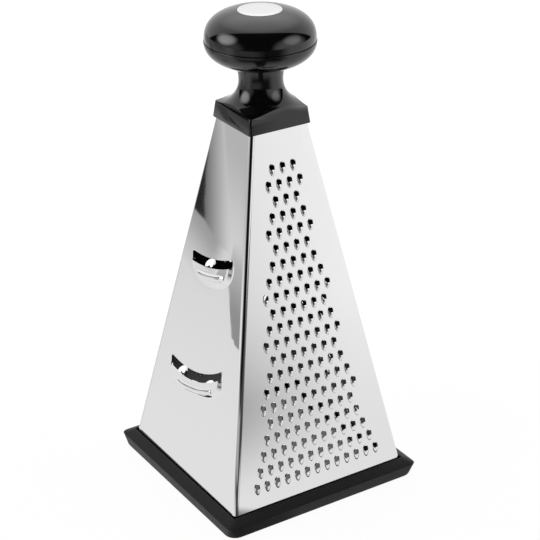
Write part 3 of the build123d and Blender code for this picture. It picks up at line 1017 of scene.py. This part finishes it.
# %% [markdown]
# Each light of the room is a round patch of the world: full up to one angle from its
# middle, and gone at another. The first two are the backdrop where it rises and where
# it hangs over the grater, the next two are the soft boxes, and the last two are faint
# glows low at each side. The camera itself sees plain white behind everything.

# %% The surroundings
world = bpy.data.worlds.new("studio")
bpy.context.scene.world = world
world.use_nodes = True
tree = world.node_tree
tree.nodes.clear()
tree.nodes.new("ShaderNodeOutputWorld")
gaze = tree.nodes.new("ShaderNodeTexCoord").outputs["Generated"]
lights = (
    # turn right, climb, angle where it starts, angle where it is full, brightness
    (0, 32, 66, 63, 1.1),
    (0, 62, 40, 12, 0.9),
    (-101, 24, 27, 3, 4.6),
    (107, 21, 25, 5, 1.7),
    (117, -2, 44, 20, 1.15),
    (-112, -4, 40, 16, 0.6),
)
total = 0.006
for turn, climb, start, full, brightness in lights:
    reach = measure_along(tree, gaze, from_camera(turn, climb))
    start, full = (math.cos(math.radians(angle)) for angle in (start, full))
    total = joined(tree, "ADD", total, eased(tree, reach, start, full, 0, brightness))
surroundings, backdrop = (tree.nodes.new("ShaderNodeBackground") for _ in range(2))
for background in (surroundings, backdrop):
    background.inputs["Color"].default_value = (1, 1, 1, 1)
tree.links.new(total, surroundings.inputs["Strength"])
path = tree.nodes.new("ShaderNodeLightPath")
mixed(tree, path.outputs["Is Camera Ray"], surroundings, backdrop)
print("studio lights:", len(lights))

# %% [markdown]
# The table is a plain pale plane. The camera, and anything shiny, sees it as white as
# the backdrop, so most of its look is a steady glow for such rays. Under the grater the
# glow is painted down to a faint level, as painted shade where the steel closes that
# part in. The glow is also painted darker towards the camera, where the room is dark,
# and away to the left, as painted shade. Farther off at the front left, a painted grey
# patch of glow keeps part of that dark from being quite black.

# %% The table
# Under the grater, within the given half width, the glow is a faint painted shade
glow_share, painted_shade_glow = 0.96, 0.125
painted_shade_half = 50 * mm
start_fresh()
bpy.ops.mesh.primitive_plane_add(size=6.0)
table = name_new("table")
table_paint, tree, shader = new_material("table_paint")
shader.inputs["Base Color"].default_value = (0.9, 0.9, 0.9, 1)
shader.inputs["Roughness"].default_value = 0.9
place = tree.nodes.new("ShaderNodeTexCoord").outputs["Object"]
split = tree.nodes.new("ShaderNodeSeparateXYZ")
tree.links.new(place, split.inputs[0])
length = tree.nodes.new("ShaderNodeVectorMath")
length.operation = "LENGTH"
tree.links.new(place, length.inputs[0])
distance = length.outputs["Value"]


def in_wedge(turn, edge, middle):
    """How far a place lies inside a wedge of the table, from 0 outside to 1 in its middle."""
    along = joined(tree, "DIVIDE", measure_along(tree, place, from_camera(turn, 0)), distance)
    return eased(tree, along, edge, middle, 0, 1)


table_glow = eased(tree, distance, 0.1, 0.8, 1.0, 1.15)
# The wedges paint shade into the glow, towards the camera and to the left
for turn, edge, middle, near, far, dimmest in (
    # direction, edge and middle of the wedge, where dimming starts and ends, how dim
    (180, 0.42, 0.85, 0.1, 0.36, 0.03),
    (180, 0.95, 0.99, 0.02, 0.12, 0.03),
    (-70, 0.7, 0.95, 0.0, 1.15, 0.5),
):
    gone = eased(tree, distance, near, far, 0, 1 - dimmest)
    dimming = joined(tree, "MULTIPLY", in_wedge(turn, edge, middle), gone)
    table_glow = joined(tree, "MULTIPLY", table_glow, joined(tree, "SUBTRACT", 1, dimming))
# The painted grey patch in the glow comes in with the distance and goes out again
grey_patch = joined(tree, "MULTIPLY", in_wedge(-142, 0.6, 0.98), 0.5)
for start, end, before, after in ((0.3, 0.5, 0, 1), (1.5, 2.1, 1, 0)):
    step = eased(tree, distance, start, end, before, after)
    grey_patch = joined(tree, "MULTIPLY", grey_patch, step)
table_glow = joined(tree, "MAXIMUM", table_glow, grey_patch)
print("table nodes so far:", len(tree.nodes))

# %% [markdown]
# The glow is for camera rays and mirrored rays only. All other light meets plain paint,
# which is what keeps the grater's own shadow on the table.

# %% What glows for which rays
path = tree.nodes.new("ShaderNodeLightPath")
camera_ray = path.outputs["Is Camera Ray"]
mirrored = joined(
    tree, "MAXIMUM", path.outputs["Is Glossy Ray"], path.outputs["Is Transmission Ray"]
)
widest = joined(
    tree, "MAXIMUM",
    joined(tree, "ABSOLUTE", split.outputs["X"], 0),
    joined(tree, "ABSOLUTE", split.outputs["Y"], 0),
)
outside = joined(tree, "GREATER_THAN", widest, painted_shade_half)
table_glow = joined(tree, "MAXIMUM", camera_ray, table_glow)
# Inside the grater's footprint the glow falls to its painted shade
least = joined(tree, "MAXIMUM", outside, painted_shade_glow)
table_glow = joined(tree, "MULTIPLY", table_glow, least)
glow = tree.nodes.new("ShaderNodeEmission")
tree.links.new(table_glow, glow.inputs["Strength"])
share = joined(tree, "MULTIPLY", joined(tree, "MAXIMUM", camera_ray, mirrored), glow_share)
mixed(tree, share, shader, glow)
wear(table, table_paint)
print("table nodes:", len(tree.nodes))

# %% [markdown]
# A few cards stand behind the grater on the left, as photographers put them near shiny
# things. The slicing side mirrors them as a dark wedge with soft shades round it and as
# a grey strip, and without them the steel looks like paper. Only reflections see them.
# Each is drawn by points that say how far to the right and how high they are, in
# millimetres, on an upright plane that faces the grater.

# %% The cards
# The cards stand 36.5 degrees to the left of +Y, as seen from above the grater
card_away, card_right = Vector((-0.5948, 0.8039, 0)), Vector((0.8039, 0.5948, 0))
card_up = Vector((0, 0, 1))


def stand_card(name, distance, outline, darkest, shades=(), fades=()):
    """A card whose glow grows by shades, and that ends softly by fades."""
    start_fresh()
    bpy.ops.mesh.primitive_circle_add(vertices=len(outline), radius=1, fill_type="NGON")
    card = name_new(name)
    corners = iter(outline)

    def shape(co):
        side, up = next(corners)
        return (card_away * distance + card_right * side + card_up * up) * mm

    move_points(card, shape)
    card.visible_camera = card.visible_diffuse = card.visible_shadow = False
    paint, tree, shader = new_material(name)
    tree.nodes.remove(shader)
    place = tree.nodes.new("ShaderNodeTexCoord").outputs["Object"]
    brightness, solid = darkest, 1
    for direction, start, end, added in shades:
        reach = measure_along(tree, place, direction)
        step = eased(tree, reach, start * mm, end * mm, 0, added)
        brightness = joined(tree, "ADD", brightness, step)
    for direction, start, end in fades:
        reach = measure_along(tree, place, direction)
        solid = joined(tree, "MULTIPLY", solid, eased(tree, reach, start * mm, end * mm, 1, 0))
    clear = tree.nodes.new("ShaderNodeBsdfTransparent")
    glow = tree.nodes.new("ShaderNodeEmission")
    feed(tree, brightness, glow.inputs["Strength"])
    mixed(tree, solid, clear, glow)
    wear(card, paint)
    print("stood", name)


# Two slanted directions along which cards grow lighter or fade
slanted = card_right - 0.295 * card_up
below_wedge = card_up - 0.8 * card_right
stand_card(
    "black_card", 379,
    (
        (2.5, 110), (1.5, 103), (0.5, 96), (-2.5, 85), (-4.5, 75), (-9, 61.5), (-3, 65),
        (3, 69), (6.5, 72), (7.5, 94), (6.5, 111),
    ),
    0.025,
)
stand_card(
    "shaded_card", 380,
    (
        (6, 132), (5, 119), (4, 110), (3, 103), (2, 96), (-1, 85), (-3, 75), (-7, 63),
        (-11, 59), (-15, 55), (-21, 50), (-27, 45), (-35, 42), (-50, 42), (-30, 140),
        (6, 145),
    ),
    0.12, ((slanted, -20.6, -50.2, 0.68),), ((slanted, -39.9, -48.7),),
)
stand_card(
    "low_card", 380,
    (
        (7, 71), (3, 69), (-3, 65), (-7, 63), (-11, 59), (-15, 55), (-21, 50), (-27, 45),
        (-34, 40), (-34, 0), (20, 20), (20, 70),
    ),
    0.44, ((below_wedge, 67, 38, 0.3),),
    ((below_wedge, 42, 28), (card_right, -20, -31)),
)
stand_card("collar_card", 380, ((9, 48), (50, 48), (50, 165), (10, 165)), 0.38)
stand_card(
    "grey_card", 160,
    (
        (-34, 109), (-33, 104), (-33, 90), (-35, 81), (-38, 74), (-41, 67), (-45, 60),
        (-48, 55), (-51, 49), (-57, 46), (-70, 46), (-60, 109),
    ),
    0.36, ((card_up, 60, 94, 0.22),), ((card_up, 90, 108),),
)

# %% [markdown]
# The camera stands in front of the corner between the fine side and the slicing side,
# and looks down at it with a long lens from most of a metre away.

# %% The camera
sensor_width, focal_pixels, picture_width = 36.0, 1683.06, 540
camera_data = bpy.data.cameras.new("camera")
camera = bpy.data.objects.new("camera", camera_data)
bpy.context.scene.collection.objects.link(camera)
bpy.context.scene.camera = camera
camera.location = (-406.79 * mm, -655.10 * mm, 489.88 * mm)
look = away * math.cos(pitch) - Vector((0, 0, math.sin(pitch)))
upright = level.cross(look)
right = level * math.cos(roll) + upright * math.sin(roll)
up = right.cross(look)
camera.matrix_world = Matrix(
    (
        (right.x, up.x, -look.x, camera.location.x),
        (right.y, up.y, -look.y, camera.location.y),
        (right.z, up.z, -look.z, camera.location.z),
        (0, 0, 0, 1),
    )
)
camera_data.sensor_width = sensor_width
camera_data.sensor_fit = "HORIZONTAL"
camera_data.lens = sensor_width * focal_pixels / picture_width
camera_data.clip_start = 0.01
bpy.context.scene.view_settings.view_transform = "Standard"
print("lens:", round(camera_data.lens, 1), "mm")
